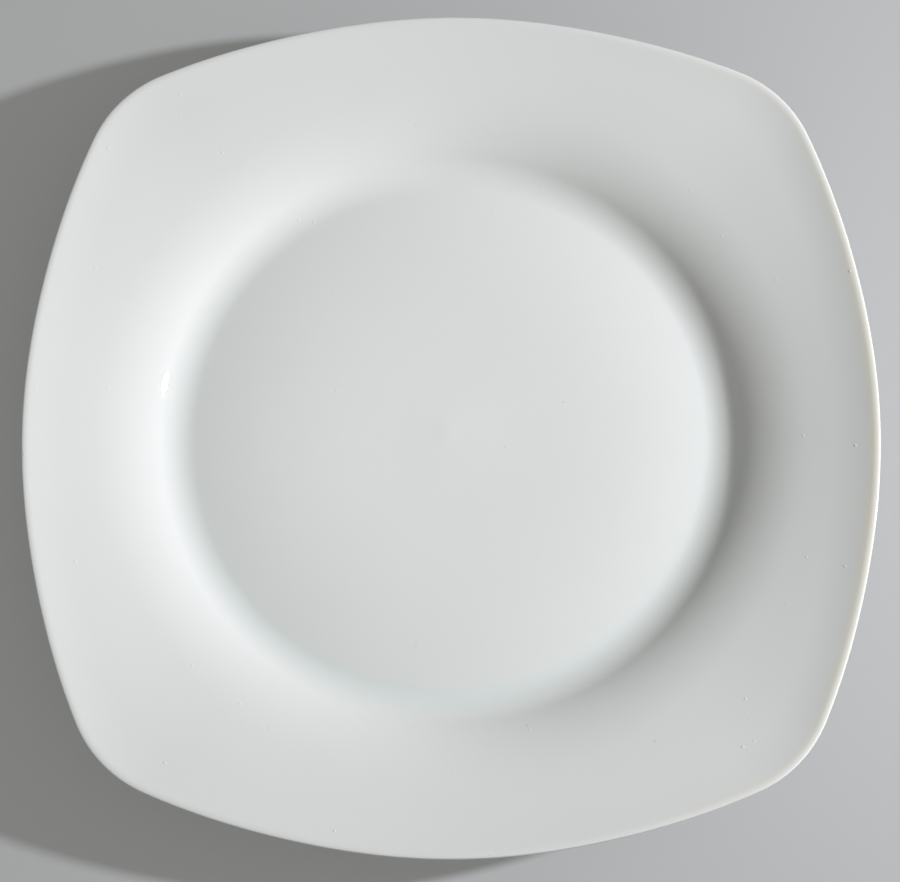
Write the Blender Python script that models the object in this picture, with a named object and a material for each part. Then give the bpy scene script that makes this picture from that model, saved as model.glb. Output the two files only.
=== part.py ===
"""Square salad plate: one porcelain body whose round well flows out into a soft-square rim.

Metres, +Z up. The origin is the middle of the plane that the foot ring stands on.
"""

import math

import bmesh
import bpy

# Plan of the lip, seen from above
PLATE_WIDTH = 0.2100       # across the middles of opposite sides
SIDE_BOW = 0.01275         # how far a side bows out from a straight-sided square
SIDE_EASE = 0.00034        # sides drawn in by this between their middles and the corners
CORNER_RADIUS = 0.0326

# Heights of the lip
PLATE_HEIGHT = 0.0229      # standing plane to the top of a corner
CORNER_LIFT = 0.0013       # corners above the middles of the sides

# Floor of the well, dished a little by the firing
RIM_WIDTH = 0.0365         # lip to the corner between floor and wall, at the middle of a side
FLOOR_CLEARANCE = 0.0016   # under the middle of the floor
FLOOR_THICKNESS = 0.0042
FLOOR_FLAT_RADIUS = 0.0080
CROWN_INSET = 0.0225       # low raised ring, in from the wall
CROWN_RISE = 0.0008        # raised ring above the middle
GUTTER_DROP = 0.00065      # gutter along the wall, below the raised ring

# Wall of the well and rim
VERGE_REACH = 0.0046       # hollow between floor and wall, along the floor
VERGE_CLIMB = 0.0049       # and up the wall
WALL_ANGLE = 36.5          # degrees, the steepest part
SHOULDER_CLIMB = 0.0073    # swell between wall and rim, along the wall
SHOULDER_REACH = 0.0099    # and along the rim
LIP_THICKNESS = 0.0026
LIP_NOSE = 0.00175         # how far the round of the lip stands out past the rim's faces
LIP_BROW = 0.00055         # tip of that round, below the rim's upper face
LIP_FLARE = 0.0004         # upturn at the lip
LIP_FLARE_WIDTH = 0.0090

# Foot ring
FOOT_INSET = 0.0095        # middle of the ring, in from the corner between floor and wall
FOOT_WIDTH = 0.0030        # across the standing face, with its rounded edges
FOOT_DRAFT = 20.0          # degrees off upright, both walls
FOOT_ROUND = 0.0004
FOOT_FILLET = 0.0009

# Facets: steps along each stretch of the plan and of the section
SIDE_STEPS = 12
CORNER_STEPS = 6
FLOOR_STEPS = 4
GUTTER_STEPS = 3
VERGE_STEPS = 6
SHOULDER_STEPS = 5
RIM_STEPS = 2
FLARE_STEPS = 3
NOSE_STEPS = 8
FILLET_STEPS = 3
SLOPE_PASSES = 8

HALF_WIDTH = PLATE_WIDTH / 2
WELL_RADIUS = HALF_WIDTH - RIM_WIDTH
CROWN_RADIUS = WELL_RADIUS - CROWN_INSET
GUTTER_RADIUS = WELL_RADIUS - VERGE_REACH
FLOOR_TOP = FLOOR_CLEARANCE + FLOOR_THICKNESS


def outline():
    """Points round the lip: four side arcs joined by four corner arcs, all tangent, then eased."""
    corner_middle = HALF_WIDTH - SIDE_BOW - CORNER_RADIUS
    side_middle = (SIDE_BOW ** 2 + 2 * SIDE_BOW * corner_middle - corner_middle ** 2) / (2 * SIDE_BOW)
    side_radius = HALF_WIDTH - side_middle
    join = math.atan2(corner_middle, corner_middle - side_middle)
    quarter = math.pi / 2

    first_half = [join * step / (SIDE_STEPS // 2) for step in range(SIDE_STEPS // 2)]
    corner = [join + (quarter - 2 * join) * step / CORNER_STEPS for step in range(CORNER_STEPS)]
    second_half = [quarter - join + angle for angle in first_half]

    points = []
    for turn in range(4):
        for angle in first_half + corner + second_half:
            if angle < join:
                x = side_middle + side_radius * math.cos(angle)
                y = side_radius * math.sin(angle)
            elif angle < quarter - join:
                x = corner_middle + CORNER_RADIUS * math.cos(angle)
                y = corner_middle + CORNER_RADIUS * math.sin(angle)
            else:
                x = side_radius * math.cos(angle)
                y = side_middle + side_radius * math.sin(angle)
            bearing = math.atan2(y, x)
            ease = SIDE_EASE * (1 - math.cos(8 * bearing)) / 2
            points.append((math.hypot(x, y) - ease, bearing + turn * quarter))
    return points


def floor_height(radius):
    """Upper face of the floor: flat middle, low raised ring, then down to the gutter."""
    if radius < CROWN_RADIUS:
        share = (radius - FLOOR_FLAT_RADIUS) / (CROWN_RADIUS - FLOOR_FLAT_RADIUS)
        return FLOOR_TOP + CROWN_RISE * (1 - math.cos(math.pi * share)) / 2
    share = (radius - CROWN_RADIUS) / (GUTTER_RADIUS - CROWN_RADIUS)
    return FLOOR_TOP + CROWN_RISE - GUTTER_DROP * share ** 2


def floor_radii():
    """Radii of the floor's rings, from the flat middle to the gutter."""
    dish = CROWN_RADIUS - FLOOR_FLAT_RADIUS
    fall = GUTTER_RADIUS - CROWN_RADIUS
    rise = [FLOOR_FLAT_RADIUS + dish * step / FLOOR_STEPS for step in range(FLOOR_STEPS)]
    return rise + [CROWN_RADIUS + fall * step / GUTTER_STEPS for step in range(GUTTER_STEPS)]


def on_arc(middle, radius, slope, side):
    """Point of an arc where its section has this slope; side is +1 on its top and -1 in its hollow."""
    across = middle[0] - side * radius * math.sin(slope)
    return across, middle[1] + side * radius * math.cos(slope)


def along(start, slope, length):
    """Point at this length from the start, up the slope."""
    return start[0] + length * math.cos(slope), start[1] + length * math.sin(slope)


def blend(start, corner, end, steps):
    """(radius, height, slope) along a curve that is tangent to the lines through the corner."""
    stations = []
    for step in range(steps + 1):
        t = step / steps
        weights = ((1 - t) ** 2, 2 * t * (1 - t), t ** 2)
        radius, height = (weights[0] * a + weights[1] * b + weights[2] * c
                          for a, b, c in zip(start, corner, end))
        run, rise = ((1 - t) * (b - a) + t * (c - b) for a, b, c in zip(start, corner, end))
        stations.append((radius, height, math.atan2(rise, run)))
    return stations


def nose_middle(lip_radius, lip_top, slope):
    """Middle of the lip's round, so that it just reaches the outline and the top of the lip."""
    reach = math.hypot(LIP_NOSE * math.cos(slope), (LIP_THICKNESS - LIP_BROW) * math.sin(slope))
    rise = math.hypot(LIP_NOSE * math.sin(slope), LIP_BROW * math.cos(slope))
    return lip_radius - reach, lip_top - rise


def wall(lip_radius, lip_top):
    """(radius, height, slope) up the wall and rim, from the gutter to the lip's nose."""
    gutter = (GUTTER_RADIUS, floor_height(GUTTER_RADIUS))
    gutter_slope = -2 * GUTTER_DROP / (GUTTER_RADIUS - CROWN_RADIUS)
    wall_slope = math.radians(WALL_ANGLE)
    wall_foot = (WELL_RADIUS, gutter[1] + gutter_slope * VERGE_REACH)
    steepest = along(wall_foot, wall_slope, VERGE_CLIMB)
    shoulder = along(steepest, wall_slope, SHOULDER_CLIMB)

    # The rim runs straight from the shoulder, then turns up a little into the lip
    rim_slope = 0.0
    for _ in range(SLOPE_PASSES):
        lip_slope = math.atan(math.tan(rim_slope) + 2 * LIP_FLARE / LIP_FLARE_WIDTH)
        middle = nose_middle(lip_radius, lip_top, lip_slope)
        rim_end, rim_top = on_arc(middle, LIP_BROW, lip_slope, 1)
        rim_slope = math.atan2(rim_top - LIP_FLARE - shoulder[1], rim_end - shoulder[0])
    rim_start, rim_height = along(shoulder, rim_slope, SHOULDER_REACH)

    stations = blend(gutter, wall_foot, steepest, VERGE_STEPS)[:-1]
    stations += blend(steepest, shoulder, (rim_start, rim_height), SHOULDER_STEPS)[:-1]
    flare_start = rim_end - LIP_FLARE_WIDTH
    radii = [rim_start + (flare_start - rim_start) * step / RIM_STEPS for step in range(RIM_STEPS)]
    radii += [flare_start + LIP_FLARE_WIDTH * step / FLARE_STEPS for step in range(FLARE_STEPS + 1)]
    for radius in radii:
        share = max(0.0, radius - flare_start) / LIP_FLARE_WIDTH
        height = rim_height + (radius - rim_start) * math.tan(rim_slope) + LIP_FLARE * share ** 2
        slope = math.atan(math.tan(rim_slope) + 2 * LIP_FLARE * share / LIP_FLARE_WIDTH)
        stations.append((radius, height, slope))
    return stations


def underside(stations):
    """The wall's outer face, laid off square to its upper face and thinning towards the lip."""
    first = stations[0][0]
    last = stations[-1][0]
    points = []
    for radius, height, slope in stations:
        share = (radius - first) / (last - first)
        thickness = FLOOR_THICKNESS + (LIP_THICKNESS - FLOOR_THICKNESS) * share
        points.append(on_arc((radius, height), thickness, slope, -1))
    return points


def nose_arc(stations):
    """The lip's round, flatter above its tip than below, between the upper and the outer face."""
    radius, height, slope = stations[-1]
    middle = on_arc((radius, height), LIP_BROW, slope, -1)
    points = []
    for step in range(1, NOSE_STEPS):
        turn = math.pi * step / NOSE_STEPS
        depth = LIP_BROW if turn < math.pi / 2 else LIP_THICKNESS - LIP_BROW
        tip = LIP_NOSE * math.sin(turn)
        across, up = on_arc(middle, depth * math.cos(turn), slope, 1)
        points.append((across + tip * math.cos(slope), up + tip * math.sin(slope)))
    return points


def foot(outer_root):
    """Foot ring from the wall's outer face, round the standing face, to the floor's underside."""
    middle = WELL_RADIUS - FOOT_INSET
    outer = middle + FOOT_WIDTH / 2
    inner = middle - FOOT_WIDTH / 2
    lean = math.tan(math.radians(FOOT_DRAFT))
    outer_top = outer_root[1]
    inner_top = floor_height(inner) - FLOOR_THICKNESS
    edge = min(FOOT_ROUND, outer_top / 3)
    fillet = min(FOOT_FILLET, outer_top / 2)
    inner_root = inner - inner_top * lean - fillet

    def outer_wall(height):
        return outer + height * lean, height

    def inner_wall(height):
        return inner - height * lean, height

    corners = (
        (outer_root, outer_wall(outer_top), outer_wall(outer_top - fillet)),
        (outer_wall(edge), outer_wall(0), (outer - edge, 0)),
        ((inner + edge, 0), inner_wall(0), inner_wall(edge)),
        (inner_wall(inner_top - fillet), inner_wall(inner_top),
         (inner_root, floor_height(inner_root) - FLOOR_THICKNESS)),
    )
    stations = [station for corner in corners for station in blend(*corner, FILLET_STEPS)]
    return [(radius, height) for radius, height, _ in stations[1:]]


def section(lip_radius, lip_top):
    """Half section: out over the floor and rim, round the lip, back under to the middle."""
    radii = floor_radii()
    stations = wall(lip_radius, lip_top)
    outer_face = underside(stations)[::-1]
    foot_ring = foot(outer_face[-1])
    points = [(radius, floor_height(radius)) for radius in radii]
    points += [(radius, height) for radius, height, _ in stations]
    points += nose_arc(stations) + outer_face + foot_ring
    points += [(radius, floor_height(radius) - FLOOR_THICKNESS)
               for radius in radii[::-1] if radius < foot_ring[-1][0]]
    return points


def lofted_plate():
    """Loft through one section for each point of the outline, ring by ring."""
    lip = outline()
    reach = max(radius for radius, _ in lip) - HALF_WIDTH
    sections = []
    for radius, angle in lip:
        towards_corner = (radius - HALF_WIDTH) / reach
        points = section(radius, PLATE_HEIGHT - CORNER_LIFT * (1 - towards_corner))
        sections.append([(r * math.cos(angle), r * math.sin(angle), z) for r, z in points])

    shape = bmesh.new()
    rings = [[shape.verts.new(point) for point in ring] for ring in zip(*sections)]
    for inner, outer in zip(rings, rings[1:]):
        for i in range(len(lip)):
            shape.faces.new((inner[i - 1], outer[i - 1], outer[i], inner[i]))
    shape.faces.new(rings[0])
    shape.faces.new(rings[-1][::-1])
    bmesh.ops.recalc_face_normals(shape, faces=shape.faces)

    mesh = bpy.data.meshes.new("plate")
    shape.to_mesh(mesh)
    shape.free()
    mesh.shade_smooth()
    mesh.set_sharp_from_angle(angle=math.radians(40))
    return mesh


def glazed_porcelain():
    """White porcelain under a clear glossy glaze."""
    material = bpy.data.materials.new("glazed_porcelain")
    material.use_nodes = True
    shader = material.node_tree.nodes["Principled BSDF"]
    shader.inputs["Base Color"].default_value = (0.72, 0.735, 0.727, 1.0)
    shader.inputs["Roughness"].default_value = 0.10
    shader.inputs["Metallic"].default_value = 0.0
    return material


def build():
    for leftover in list(bpy.data.objects):
        bpy.data.objects.remove(leftover, do_unlink=True)
    collection = bpy.data.collections.new("square_salad_plate")
    bpy.context.scene.collection.children.link(collection)

    plate = bpy.data.objects.new("plate", lofted_plate())
    plate.data.materials.append(glazed_porcelain())
    collection.objects.link(plate)


build()
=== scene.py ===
import math

import bmesh
import bpy
from mathutils import Matrix, Vector, noise


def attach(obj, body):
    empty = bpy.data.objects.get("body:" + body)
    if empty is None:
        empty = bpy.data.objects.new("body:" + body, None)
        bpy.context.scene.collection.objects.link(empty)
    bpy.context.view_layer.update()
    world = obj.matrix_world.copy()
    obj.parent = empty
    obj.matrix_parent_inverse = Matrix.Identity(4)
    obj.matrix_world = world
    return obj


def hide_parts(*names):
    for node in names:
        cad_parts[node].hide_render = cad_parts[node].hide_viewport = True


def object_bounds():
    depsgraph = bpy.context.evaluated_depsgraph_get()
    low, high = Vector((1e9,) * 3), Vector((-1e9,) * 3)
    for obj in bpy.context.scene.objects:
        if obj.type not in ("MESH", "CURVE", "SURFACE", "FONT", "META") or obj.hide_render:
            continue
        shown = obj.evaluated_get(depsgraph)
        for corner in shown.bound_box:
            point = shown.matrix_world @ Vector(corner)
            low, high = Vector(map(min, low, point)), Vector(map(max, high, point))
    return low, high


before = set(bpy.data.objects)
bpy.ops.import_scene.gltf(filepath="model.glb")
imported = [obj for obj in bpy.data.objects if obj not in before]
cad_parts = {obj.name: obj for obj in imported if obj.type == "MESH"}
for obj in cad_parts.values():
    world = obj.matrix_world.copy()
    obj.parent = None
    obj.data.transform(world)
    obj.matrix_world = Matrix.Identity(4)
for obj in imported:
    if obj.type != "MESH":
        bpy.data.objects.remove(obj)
cadLow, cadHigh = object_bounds()
mm = 0.001
print("frame loaded, plate box in mm", [round(side / mm, 2) for side in cadHigh - cadLow])


def linear(hexColour):
    # sRGB hex to the linear colour that sockets take
    channels = [int(hexColour[i:i + 2], 16) / 255 for i in (1, 3, 5)]
    return [c / 12.92 if c <= 0.04045 else ((c + 0.055) / 1.055) ** 2.4 for c in channels] + [1.0]


def addNode(tree, kind, inputs=None, **settings):
    # inputs: socket name or number to a value, or to the output socket that feeds it
    node = tree.nodes.new(kind)
    for name, value in settings.items():
        setattr(node, name, value)
    for socket, value in (inputs or {}).items():
        if isinstance(value, bpy.types.NodeSocket):
            tree.links.new(value, node.inputs[socket])
        else:
            node.inputs[socket].default_value = value
    return node


def seenByEye(tree):
    # 1 for what the camera sees, straight or by way of gloss and glass, and 0 for light on the plate
    rays = addNode(tree, "ShaderNodeLightPath").outputs
    seen = rays["Is Camera Ray"]
    for kind in ("Is Glossy Ray", "Is Transmission Ray"):
        either = addNode(tree, "ShaderNodeMath", {0: seen, 1: rays[kind]}, operation="MAXIMUM")
        seen = either.outputs["Value"]
    return seen


def newMaterial(name):
    material = bpy.data.materials.new(name)
    material.use_nodes = True
    tree = material.node_tree
    return material, tree, tree.nodes["Principled BSDF"]


# Plate: the solid's own section and plan, in fine steps
plateSizes = {
    "halfWidth": (cadHigh.x - cadLow.x) / 2,
    "height": cadHigh.z - cadLow.z,  # top of a corner
    "sideBow": 12.75 * mm,           # sides bow out from a straight-sided square
    "sideEase": 0.34 * mm,           # and are drawn in a little on the way to the corners
    "cornerRadius": 32.6 * mm,
    "cornerLift": 1.3 * mm,          # corners above the middles of the sides
    "rimWidth": 36.5 * mm,           # lip to where floor and wall would meet, at the middle of a side
    "floorClearance": 1.6 * mm,
    "floorThickness": 4.2 * mm,
    "floorFlat": 8.0 * mm,
    "crownInset": 22.5 * mm,         # low raised ring, in from the wall
    "crownRise": 0.8 * mm,
    "gutterDrop": 0.65 * mm,
    "vergeReach": 4.6 * mm,          # floor blends into the wall over this, and this far up it
    "vergeClimb": 4.9 * mm,
    "wallAngle": 36.5,               # degrees
    "shoulderClimb": 7.3 * mm,       # wall blends into the rim over this, and this far along it
    "shoulderReach": 9.9 * mm,
    "lipThickness": 2.6 * mm,
    "lipNose": 1.75 * mm,
    "lipBrow": 0.55 * mm,
    "lipFlare": 0.4 * mm,
    "lipFlareWidth": 9.0 * mm,
    "footInset": 9.5 * mm,
    "footWidth": 3.0 * mm,
    "footDraft": 20.0,               # degrees
    "footRound": 0.4 * mm,
    "footFillet": 0.9 * mm,
}
# Steps round the plate, and along each stretch of its section
plateSteps = {
    "turn": 400,
    "flat": 10,
    "dish": 20,
    "gutter": 10,
    "verge": 16,
    "shoulder": 16,
    "rim": 8,
    "flare": 10,
    "nose": 20,
    "fillet": 6,
    "slopePasses": 8,                # tries at the rim's slope
}
# Marks of the making: a well set a little off, a low pip where the mould was filled, a slow unevenness from
# the kiln, and glaze that ran before it set; and a painted warm glow of lamp light just inside the lip on
# the right
plateMarks = {
    "wellShift": -0.35 * mm,         # the well lies a little left of the lip's middle
    "pipMiddle": Vector((-0.9, 1.5)) * mm,
    "pipRadius": 2.7 * mm,
    "pipHeight": 0.09 * mm,
    "waveLength": 35.0 * mm,
    "waveHeight": 0.02 * mm,
    "poolMiddle": 66.0 * mm,         # glaze runs together round the foot of the wall
    "poolWidth": 4.5 * mm,
    "poolSide": math.radians(260),   # most of it where the plate dripped
    "thinMiddle": 1.8 * mm,          # thin glaze just inside the lip, where a painted glow of lamp light is also laid
    "thinWidth": 1.6 * mm,
    "paintedGlowSide": math.radians(-5),    # painted glow: only on the lamp's side, strongest on the right
    "paintedGlowFocus": 3,                  # how closely the painted glow keeps to the lamp's side
    "bareHeight": 0.3 * mm,          # glaze is wiped off the foot up to here
}
wellRadius = plateSizes["halfWidth"] - plateSizes["rimWidth"]
crownRadius = wellRadius - plateSizes["crownInset"]
gutterRadius = wellRadius - plateSizes["vergeReach"]


def outlineRadius(angle):
    # lip's distance from the middle: side arcs and corner arcs, all tangent, then eased
    half, bow, corner = plateSizes["halfWidth"], plateSizes["sideBow"], plateSizes["cornerRadius"]
    cornerMiddle = half - bow - corner
    sideMiddle = (bow * bow + 2 * bow * cornerMiddle - cornerMiddle ** 2) / (2 * bow)
    sideRadius = half - sideMiddle
    join = math.atan2(cornerMiddle, cornerMiddle - sideMiddle)
    joinAngle = math.atan2(sideRadius * math.sin(join), sideMiddle + sideRadius * math.cos(join))
    folded = angle % (math.pi / 2)
    folded = min(folded, math.pi / 2 - folded)
    ease = plateSizes["sideEase"] * (1 - math.cos(8 * angle)) / 2
    if folded <= joinAngle:
        across = sideMiddle * math.sin(folded)
        return sideMiddle * math.cos(folded) + math.sqrt(sideRadius ** 2 - across ** 2) - ease
    out = cornerMiddle * (math.cos(folded) + math.sin(folded))
    return out + math.sqrt(corner ** 2 - 2 * cornerMiddle ** 2 + out ** 2) - ease


def floorHeight(radius):
    # flat middle, low raised ring, then down to the gutter
    top = plateSizes["floorClearance"] + plateSizes["floorThickness"]
    if radius <= plateSizes["floorFlat"]:
        return top
    if radius < crownRadius:
        share = (radius - plateSizes["floorFlat"]) / (crownRadius - plateSizes["floorFlat"])
        return top + plateSizes["crownRise"] * (1 - math.cos(math.pi * share)) / 2
    share = (radius - crownRadius) / (gutterRadius - crownRadius)
    return top + plateSizes["crownRise"] - plateSizes["gutterDrop"] * share ** 2


def spread(start, end, steps):
    return [start + (end - start) * step / steps for step in range(steps)]


def along(start, slope, length):
    return start[0] + length * math.cos(slope), start[1] + length * math.sin(slope)


def squareTo(start, slope, length):
    return along(start, slope + math.pi / 2, length)


def blend(start, corner, end, steps):
    # radius, height and slope along a curve that is tangent to the lines through the corner
    stations = []
    for step in range(steps + 1):
        t = step / steps
        radius, height = [(1 - t) ** 2 * a + 2 * t * (1 - t) * b + t * t * c
                          for a, b, c in zip(start, corner, end)]
        run, rise = [(1 - t) * (b - a) + t * (c - b) for a, b, c in zip(start, corner, end)]
        stations.append((radius, height, math.atan2(rise, run)))
    return stations


def wallStations(lipRadius, lipTop):
    # radius, height and slope from the gutter to where the lip rounds over
    s = plateSizes
    gutter = gutterRadius, floorHeight(gutterRadius)
    gutterSlope = -2 * s["gutterDrop"] / (gutterRadius - crownRadius)
    wallSlope = math.radians(s["wallAngle"])
    wallFoot = wellRadius, gutter[1] + gutterSlope * s["vergeReach"]
    steepest = along(wallFoot, wallSlope, s["vergeClimb"])
    shoulder = along(steepest, wallSlope, s["shoulderClimb"])
    flareSlope = 2 * s["lipFlare"] / s["lipFlareWidth"]
    rimSlope = 0.0
    for _ in range(plateSteps["slopePasses"]):  # the rim's slope and the lip's round depend on each other
        lipSlope = math.atan(math.tan(rimSlope) + flareSlope)
        under = (s["lipThickness"] - s["lipBrow"]) * math.sin(lipSlope)
        nose, brow = s["lipNose"], s["lipBrow"]
        middle = (lipRadius - math.hypot(nose * math.cos(lipSlope), under),
                  lipTop - math.hypot(nose * math.sin(lipSlope), brow * math.cos(lipSlope)))
        rimEnd, rimTop = squareTo(middle, lipSlope, s["lipBrow"])
        rimSlope = math.atan2(rimTop - s["lipFlare"] - shoulder[1], rimEnd - shoulder[0])
    rimStart = along(shoulder, rimSlope, s["shoulderReach"])
    stations = blend(gutter, wallFoot, steepest, plateSteps["verge"])[:-1]
    stations += blend(steepest, shoulder, rimStart, plateSteps["shoulder"])[:-1]
    flareStart = rimEnd - s["lipFlareWidth"]
    radii = spread(rimStart[0], flareStart, plateSteps["rim"])
    radii += spread(flareStart, rimEnd, plateSteps["flare"]) + [rimEnd]
    for radius in radii:
        share = max(0.0, radius - flareStart) / s["lipFlareWidth"]
        height = rimStart[1] + (radius - rimStart[0]) * math.tan(rimSlope) + s["lipFlare"] * share ** 2
        stations.append((radius, height, math.atan(math.tan(rimSlope) + flareSlope * share)))
    return stations


def lipRound(station):
    # flatter above its tip than below
    radius, height, slope = station
    middle = squareTo((radius, height), slope, -plateSizes["lipBrow"])
    points = []
    for step in range(1, plateSteps["nose"]):
        turn = math.pi * step / plateSteps["nose"]
        below = plateSizes["lipThickness"] - plateSizes["lipBrow"]
        depth = plateSizes["lipBrow"] if turn < math.pi / 2 else below
        tip = along(middle, slope, plateSizes["lipNose"] * math.sin(turn))
        points.append(squareTo(tip, slope, depth * math.cos(turn)))
    return points


def outerFace(stations):
    # wall's thickness laid off square to its upper face, thinning towards the lip
    first, last = stations[0][0], stations[-1][0]
    points = []
    for radius, height, slope in reversed(stations):
        share = (radius - first) / (last - first)
        thickness = plateSizes["floorThickness"] * (1 - share) + plateSizes["lipThickness"] * share
        points.append(squareTo((radius, height), slope, -thickness))
    return points


def footRing(root):
    # from the wall's outer face, round the standing face, to the underside of the floor
    s = plateSizes
    middle = wellRadius - s["footInset"]
    outer, inner = middle + s["footWidth"] / 2, middle - s["footWidth"] / 2
    lean = math.tan(math.radians(s["footDraft"]))
    outerTop, innerTop = root[1], floorHeight(inner) - s["floorThickness"]
    innerRoot = inner - innerTop * lean - s["footFillet"]

    def outerWall(height):
        return outer + height * lean, height

    def innerWall(height):
        return inner - height * lean, height

    corners = [
        (root, outerWall(outerTop), outerWall(outerTop - s["footFillet"])),
        (outerWall(s["footRound"]), outerWall(0), (outer - s["footRound"], 0)),
        ((inner + s["footRound"], 0), innerWall(0), innerWall(s["footRound"])),
        (innerWall(innerTop - s["footFillet"]), innerWall(innerTop),
         (innerRoot, floorHeight(innerRoot) - s["floorThickness"])),
    ]
    points = [station[:2] for corner in corners for station in blend(*corner, plateSteps["fillet"])]
    return points[1:]


def plateSection(angle):
    # half section from the middle of the floor, over the lip and back under to the middle
    s = plateSizes
    lipRadius = outlineRadius(angle)
    towardsCorner = (lipRadius - s["halfWidth"]) / (outlineRadius(math.pi / 4) - s["halfWidth"])
    stations = wallStations(lipRadius, s["height"] - s["cornerLift"] * (1 - towardsCorner))
    radii = spread(0, s["floorFlat"], plateSteps["flat"])
    radii += spread(s["floorFlat"], crownRadius, plateSteps["dish"])
    radii += spread(crownRadius, gutterRadius, plateSteps["gutter"])
    under = outerFace(stations)
    foot = footRing(under[-1])
    points = [(radius, floorHeight(radius)) for radius in radii]
    points += [station[:2] for station in stations]
    points += lipRound(stations[-1]) + under + foot
    points += [(radius, floorHeight(radius) - s["floorThickness"])
               for radius in reversed(radii) if radius < foot[-1][0]]
    return points


def kilnMarks(x, y, height):
    # how far a point of the fired plate lies off the drawn one
    marks = plateMarks
    rise = marks["waveHeight"] * noise.noise(Vector((x, y, 0)) / marks["waveLength"])
    rise *= min(1.0, height / plateSizes["floorThickness"])
    if height > plateSizes["floorThickness"]:
        away = (Vector((x, y)) - marks["pipMiddle"]).length
        rise += marks["pipHeight"] * math.exp(-(away / marks["pipRadius"]) ** 2)
    return rise


def glazeAndGlowShares(radius, height, bearing, lipTip):
    # how much of the pooled glaze a point has, and how much of the thin glaze's cream with its painted lamp
    # glow
    marks = plateMarks
    fromPool = (radius - marks["poolMiddle"]) / marks["poolWidth"]
    dripped = (1 + math.cos(bearing - marks["poolSide"])) / 2
    fromLip = (lipTip - Vector((radius, height))).length
    fromThin = (fromLip - marks["thinMiddle"]) / marks["thinWidth"]
    # painted glow: lamp light shining through the thin lip, strongest toward the lamp and none on the far
    # side
    drawn = max(0.0, math.cos(bearing - marks["paintedGlowSide"])) ** marks["paintedGlowFocus"]
    return dripped * max(0.0, 1 - fromPool ** 2), drawn * max(0.0, 1 - fromThin ** 2)


def spunPlate():
    # turn the mid-side section, then pull every turn out to its own section
    weldDistance = 0.001 * mm  # closes the two poles
    shape = bmesh.new()
    shape.verts.layers.int.new("station")
    shape.verts.layers.float.new("glazePool")
    shape.verts.layers.float.new("thinGlazeAndLampGlow")
    station = shape.verts.layers.int["station"]  # fetched once all are made, as a new layer moves the rest
    glazePool, thinGlazeAndLampGlow = (shape.verts.layers.float[name] for name in ("glazePool", "thinGlazeAndLampGlow"))
    profile = []
    for index, (radius, height) in enumerate(plateSection(0)):
        vert = shape.verts.new((radius, 0, height))
        vert[station] = index
        profile.append(vert)
    edges = [shape.edges.new(pair) for pair in zip(profile, profile[1:])]
    bmesh.ops.spin(shape, geom=profile + edges, cent=(0, 0, 0), axis=(0, 0, 1),
                   angle=2 * math.pi, steps=plateSteps["turn"], use_merge=True)
    step = 2 * math.pi / plateSteps["turn"]
    sections = [plateSection(turn * step) for turn in range(plateSteps["turn"])]
    lipTips = [Vector(max(section)) for section in sections]
    for vert in shape.verts:
        turn = round(math.atan2(vert.co.y, vert.co.x) / step) % plateSteps["turn"]
        bearing = turn * step
        radius, height = sections[turn][vert[station]]
        # the shift is whole in the well and dies out at the lip
        shifted = min(1.0, (lipTips[turn].x - radius) / plateSizes["rimWidth"])
        x = radius * math.cos(bearing) + plateMarks["wellShift"] * shifted
        y = radius * math.sin(bearing)
        vert.co = x, y, height + kilnMarks(x, y, height)
        vert[glazePool], vert[thinGlazeAndLampGlow] = glazeAndGlowShares(radius, height, bearing, lipTips[turn])
    shape.verts.layers.int.remove(station)
    bmesh.ops.remove_doubles(shape, verts=shape.verts, dist=weldDistance)
    bmesh.ops.recalc_face_normals(shape, faces=shape.faces)
    for face in shape.faces:
        face.smooth = True
        face.material_index = int(max(vert.co.z for vert in face.verts) < plateMarks["bareHeight"])
    mesh = bpy.data.meshes.new("porcelain_plate")
    shape.to_mesh(mesh)
    shape.free()
    piece = bpy.data.objects.new("porcelain_plate", mesh)
    bpy.context.scene.collection.objects.link(piece)
    return piece


# Hard porcelain, pressed in a mould and fired under a clear feldspar glaze: a cool white that looks wet,
# greener where the glaze lies deep, creamier just inside the lip on the lamp's side as a painted glow of
# light shining through the thin lip, with a few burnt specks of iron, and small pimples where kiln dust
# lies under the glaze.
glazeLook = {
    "white": "#E0E2E1",
    "dimWhite": "#DDDFDE",
    "deepGlaze": "#DAE1DF",
    # cream of thin glaze, laid only on the lamp's side as a painted glow of light through the lip
    "thinGlazeAndPaintedGlow": "#E2E0D4",
    "iron": "#7E7468",
    "cloudSize": 28 * mm,
    "cloudDetail": 3.0,
    "cloudLow": 0.3,                 # glossiest where the clouds are thinner than this
    "cloudHigh": 0.7,                # and dullest where they are thicker than this
    "ironSpacing": 13 * mm,          # apart in the clay; the few that break the surface show
    "ironRadius": 0.4 * mm,
    "ironCore": 1 / 3,               # share of the radius that has the full colour
    "ironShow": 0.25,
    "dustSpacing": 9 * mm,           # grains of kiln dust under the glaze, felt as pimples
    "dustRadius": 0.5 * mm,
    "dustHeight": 0.08 * mm,
    "peelSize": 1.8 * mm,            # faint orange peel
    "peelDepth": 0.0007 * mm,
    "peelDetail": 1.0,
    "leastRoughness": 0.013,
    "mostRoughness": 0.024,
    "ior": 1.5,
}


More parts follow.
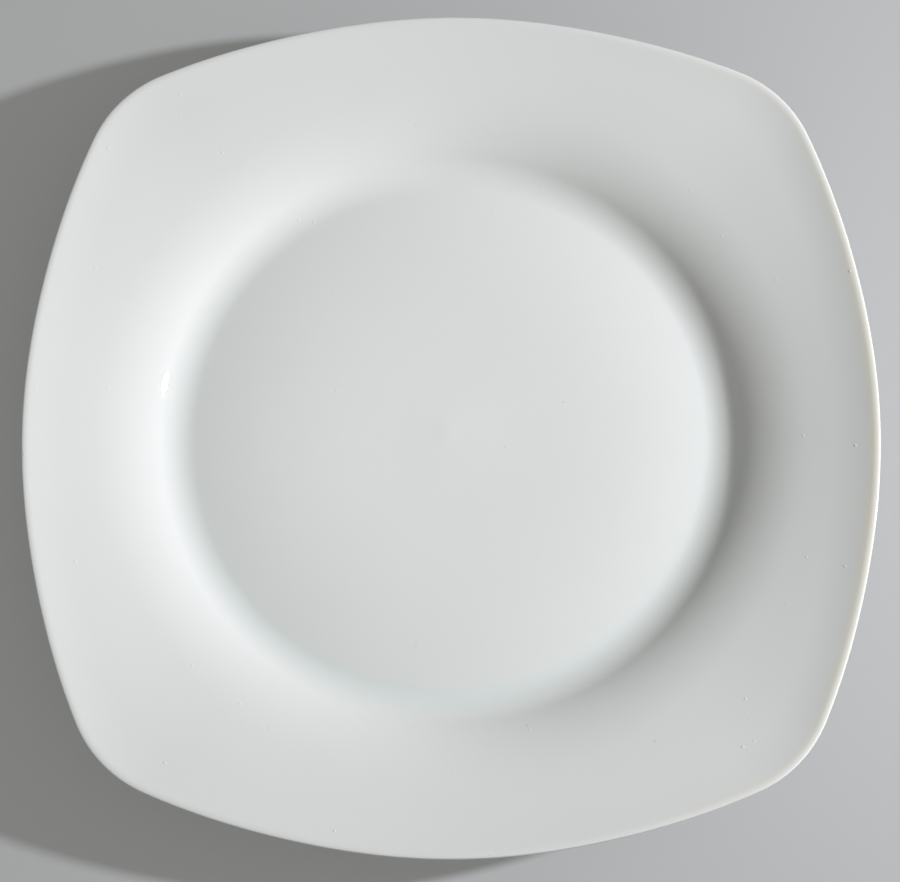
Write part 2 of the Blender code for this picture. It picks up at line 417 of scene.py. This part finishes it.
def glazedPorcelain():
    look = glazeLook
    material, tree, shader = newMaterial("glazed_porcelain")
    place = addNode(tree, "ShaderNodeTexCoord").outputs["Object"]
    pool = addNode(tree, "ShaderNodeAttribute", attribute_name="glazePool").outputs["Fac"]
    # thin glaze cream with the painted lamp glow, on the lamp's side only
    thin = addNode(tree, "ShaderNodeAttribute", attribute_name="thinGlazeAndLampGlow").outputs["Fac"]
    clouds = addNode(tree, "ShaderNodeTexNoise", {
        "Vector": place, "Scale": 1 / look["cloudSize"], "Detail": look["cloudDetail"]}).outputs["Fac"]
    iron = addNode(tree, "ShaderNodeTexVoronoi", {"Vector": place, "Scale": 1 / look["ironSpacing"]})
    ironEdge = look["ironRadius"] / look["ironSpacing"]
    specks = addNode(tree, "ShaderNodeMapRange", {
        "Value": iron.outputs["Distance"], "From Min": ironEdge, "From Max": ironEdge * look["ironCore"],
        "To Max": look["ironShow"]}).outputs["Result"]

    colour = linear(look["white"])
    layers = (clouds, "dimWhite"), (pool, "deepGlaze"), (thin, "thinGlazeAndPaintedGlow"), (specks, "iron")
    for amount, name in layers:  # 6, 7 and 2 are the Mix node's colour sockets
        colour = addNode(tree, "ShaderNodeMix", {
            "Factor": amount, 6: colour, 7: linear(look[name])}, data_type="RGBA").outputs[2]
    tree.links.new(colour, shader.inputs["Base Color"])

    gloss = addNode(tree, "ShaderNodeMapRange", {
        "Value": clouds, "From Min": look["cloudLow"], "From Max": look["cloudHigh"],
        "To Min": look["leastRoughness"], "To Max": look["mostRoughness"]})
    tree.links.new(gloss.outputs["Result"], shader.inputs["Roughness"])

    peel = addNode(tree, "ShaderNodeTexNoise", {
        "Vector": place, "Scale": 1 / look["peelSize"], "Detail": look["peelDetail"]})
    wavy = addNode(tree, "ShaderNodeBump", {
        "Height": peel.outputs["Fac"], "Distance": look["peelDepth"]})
    dust = addNode(tree, "ShaderNodeTexVoronoi", {"Vector": place, "Scale": 1 / look["dustSpacing"]})
    pimples = addNode(tree, "ShaderNodeMapRange", {
        "Value": dust.outputs["Distance"], "From Min": look["dustRadius"] / look["dustSpacing"],
        "From Max": 0.0}, interpolation_type="SMOOTHSTEP")
    bumpy = addNode(tree, "ShaderNodeBump", {
        "Height": pimples.outputs["Result"], "Distance": look["dustHeight"],
        "Normal": wavy.outputs["Normal"]})
    tree.links.new(bumpy.outputs["Normal"], shader.inputs["Normal"])
    shader.inputs["IOR"].default_value = look["ior"]
    return material


# Bare fired porcelain on the standing face: dull, a little creamy and gritty, and grey where it has slid
# on tables
footLook = {
    "bare": "#D9D3C6",
    "rubbed": "#C3BDB2",
    "rubSize": 5 * mm,
    "rubDetail": 4.0,
    "rubLow": 0.45,                  # share of wear at which it starts to show
    "rubHigh": 0.75,                 # and at which it shows in full
    "gritSize": 0.35 * mm,           # drawn coarser than the real grit, so that it shows
    "gritDepth": 0.02 * mm,
    "gritDetail": 2.0,
    "roughness": 0.7,
}


def barePorcelain():
    look = footLook
    material, tree, shader = newMaterial("bare_porcelain")
    place = addNode(tree, "ShaderNodeTexCoord").outputs["Object"]
    rub = addNode(tree, "ShaderNodeTexNoise", {
        "Vector": place, "Scale": 1 / look["rubSize"], "Detail": look["rubDetail"]})
    worn = addNode(tree, "ShaderNodeMapRange", {
        "Value": rub.outputs["Fac"], "From Min": look["rubLow"], "From Max": look["rubHigh"]})
    colour = addNode(tree, "ShaderNodeMix", {
        "Factor": worn.outputs["Result"], 6: linear(look["bare"]), 7: linear(look["rubbed"])},
        data_type="RGBA").outputs[2]
    tree.links.new(colour, shader.inputs["Base Color"])
    grit = addNode(tree, "ShaderNodeTexNoise", {
        "Vector": place, "Scale": 1 / look["gritSize"], "Detail": look["gritDetail"]})
    bumpy = addNode(tree, "ShaderNodeBump", {
        "Height": grit.outputs["Fac"], "Distance": look["gritDepth"]})
    tree.links.new(bumpy.outputs["Normal"], shader.inputs["Normal"])
    shader.inputs["Roughness"].default_value = look["roughness"]
    return material


platePiece = spunPlate()
platePiece.data.materials.append(glazedPorcelain())
platePiece.data.materials.append(barePorcelain())
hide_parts("plate")
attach(platePiece, "root")
print("plate turned and glazed,", len(platePiece.data.polygons), "faces")

# Studio: one small lamp low on the right, and soft light all round, brighter in front and on the right
studio = {
    "lampPlace": Vector((0.68, 0.038, 0.404)),  # metres, as the other lengths here
    "lampAim": Vector((0.0, 0.0, 0.01)),
    "lampDiameter": 0.05,
    "lampSpread": 100,               # degrees
    "lampPower": 2.18,
    "lampColour": "#FBFBFF",
    "aroundColour": "#FFFFF9",
    "around": 0.286,
    "inFront": 0.48,
    "fromRight": 0.2,
    "backdrop": 0.75,                # what the eye and the glaze see of the room
    "horizon": 0.6,                  # and low down, where it is darker
    "horizonTop": 0.2,               # sine of the height up to which it is dark
    "backdropFoot": 0.8,             # and of the height from which it is bright
}


def lightStudio():
    lampData = bpy.data.lights.new("lamp", "AREA")
    lampData.shape = "DISK"
    lampData.size = studio["lampDiameter"]
    lampData.spread = math.radians(studio["lampSpread"])
    lampData.energy = studio["lampPower"]
    lampData.color = linear(studio["lampColour"])[:3]
    lamp = bpy.data.objects.new("lamp", lampData)
    lamp.location = studio["lampPlace"]
    lamp.rotation_euler = (studio["lampAim"] - studio["lampPlace"]).to_track_quat("-Z", "Y").to_euler()
    bpy.context.scene.collection.objects.link(lamp)

    world = bpy.data.worlds.new("studio")
    world.use_nodes = True
    tree = world.node_tree
    direction = addNode(tree, "ShaderNodeTexCoord").outputs["Generated"]
    across = addNode(tree, "ShaderNodeSeparateXYZ", {"Vector": direction}).outputs
    level = studio["around"]
    for axis, lean in (("X", studio["fromRight"]), ("Y", -studio["inFront"])):
        leaned = addNode(tree, "ShaderNodeMath", {
            0: across[axis], 1: studio["around"] * lean, 2: level}, operation="MULTIPLY_ADD")
        level = leaned.outputs["Value"]
    room = addNode(tree, "ShaderNodeMapRange", {
        "Value": across["Z"], "From Min": studio["horizonTop"], "From Max": studio["backdropFoot"],
        "To Min": studio["horizon"], "To Max": studio["backdrop"]},
        interpolation_type="SMOOTHSTEP").outputs["Result"]
    # 0, 2, 3 and output 0 are the Mix node's number sockets
    strength = addNode(tree, "ShaderNodeMix", {0: seenByEye(tree), 2: level, 3: room})
    background = tree.nodes["Background"]
    background.inputs["Color"].default_value = linear(studio["aroundColour"])
    tree.links.new(strength.outputs[0], background.inputs["Strength"])
    bpy.context.scene.world = world


lightStudio()
print("studio lit")

# Studio floor in matt grey paint: for the eye alone, its shadow is lightened and it fades into the backdrop
floorLook = {
    "radius": 3.0,
    "segments": 128,
    "drop": 0.05 * mm,               # below the foot, so that the two faces don't flicker
    "paint": "#A2A4A6",
    "farPaint": "#000000",           # far off, only the backdrop's own glow is left
    "roughness": 0.8,
    "lightened": 0.12,
    "fadeFrom": 0.2,                 # distance from the plate's middle, in metres
    "fadeTo": 0.6,
}


def studioFloor():
    look = floorLook
    shape = bmesh.new()
    bmesh.ops.create_circle(shape, cap_ends=True, segments=look["segments"], radius=look["radius"],
                            matrix=Matrix.Translation((0, 0, -look["drop"])))
    mesh = bpy.data.meshes.new("studio_floor")
    shape.to_mesh(mesh)
    shape.free()

    material, tree, shader = newMaterial("matt_floor_paint")
    place = addNode(tree, "ShaderNodeTexCoord").outputs["Object"]
    away = addNode(tree, "ShaderNodeVectorMath", {0: place}, operation="LENGTH").outputs["Value"]
    fade = addNode(tree, "ShaderNodeMapRange", {
        "Value": away, "From Min": look["fadeFrom"], "From Max": look["fadeTo"]},
        interpolation_type="SMOOTHSTEP").outputs["Result"]
    seen = seenByEye(tree)
    faded = addNode(tree, "ShaderNodeMath", {0: fade, 1: seen}, operation="MULTIPLY").outputs["Value"]
    paint = addNode(tree, "ShaderNodeMix", {
        "Factor": faded, 6: linear(look["paint"]), 7: linear(look["farPaint"])}, data_type="RGBA")
    tree.links.new(paint.outputs[2], shader.inputs["Base Color"])
    level = addNode(tree, "ShaderNodeMix", {0: fade, 2: look["lightened"], 3: studio["horizon"]}).outputs[0]
    glow = addNode(tree, "ShaderNodeMath", {0: level, 1: seen}, operation="MULTIPLY").outputs["Value"]
    tree.links.new(glow, shader.inputs["Emission Strength"])
    shader.inputs["Emission Color"].default_value = linear(studio["aroundColour"])
    shader.inputs["Roughness"].default_value = look["roughness"]
    shader.inputs["Specular IOR Level"].default_value = 0.0  # dead matt
    mesh.materials.append(material)
    floor = bpy.data.objects.new("studio_floor", mesh)
    bpy.context.scene.collection.objects.link(floor)


studioFloor()
print("floor laid")

# Camera: the photograph's view, a little in front of straight above
view = {
    "place": Vector((9.82, -115.75, 575.7)) * mm,
    "target": Vector((-0.28, -0.1, -0.5)) * mm,
    "lens": 92.76,
    "sensor": 36.0,
}


def setCamera():
    cameraData = bpy.data.cameras.new("camera")
    cameraData.lens = view["lens"]
    cameraData.sensor_width = view["sensor"]
    back = (view["place"] - view["target"]).normalized()
    right = Vector((0, 1, 0)).cross(back).normalized()
    camera = bpy.data.objects.new("camera", cameraData)
    camera.location = view["place"]
    camera.rotation_euler = Matrix((right, back.cross(right), back)).transposed().to_euler()
    bpy.context.scene.collection.objects.link(camera)
    bpy.context.scene.camera = camera


setCamera()
bpy.context.scene.view_settings.view_transform = "Standard"
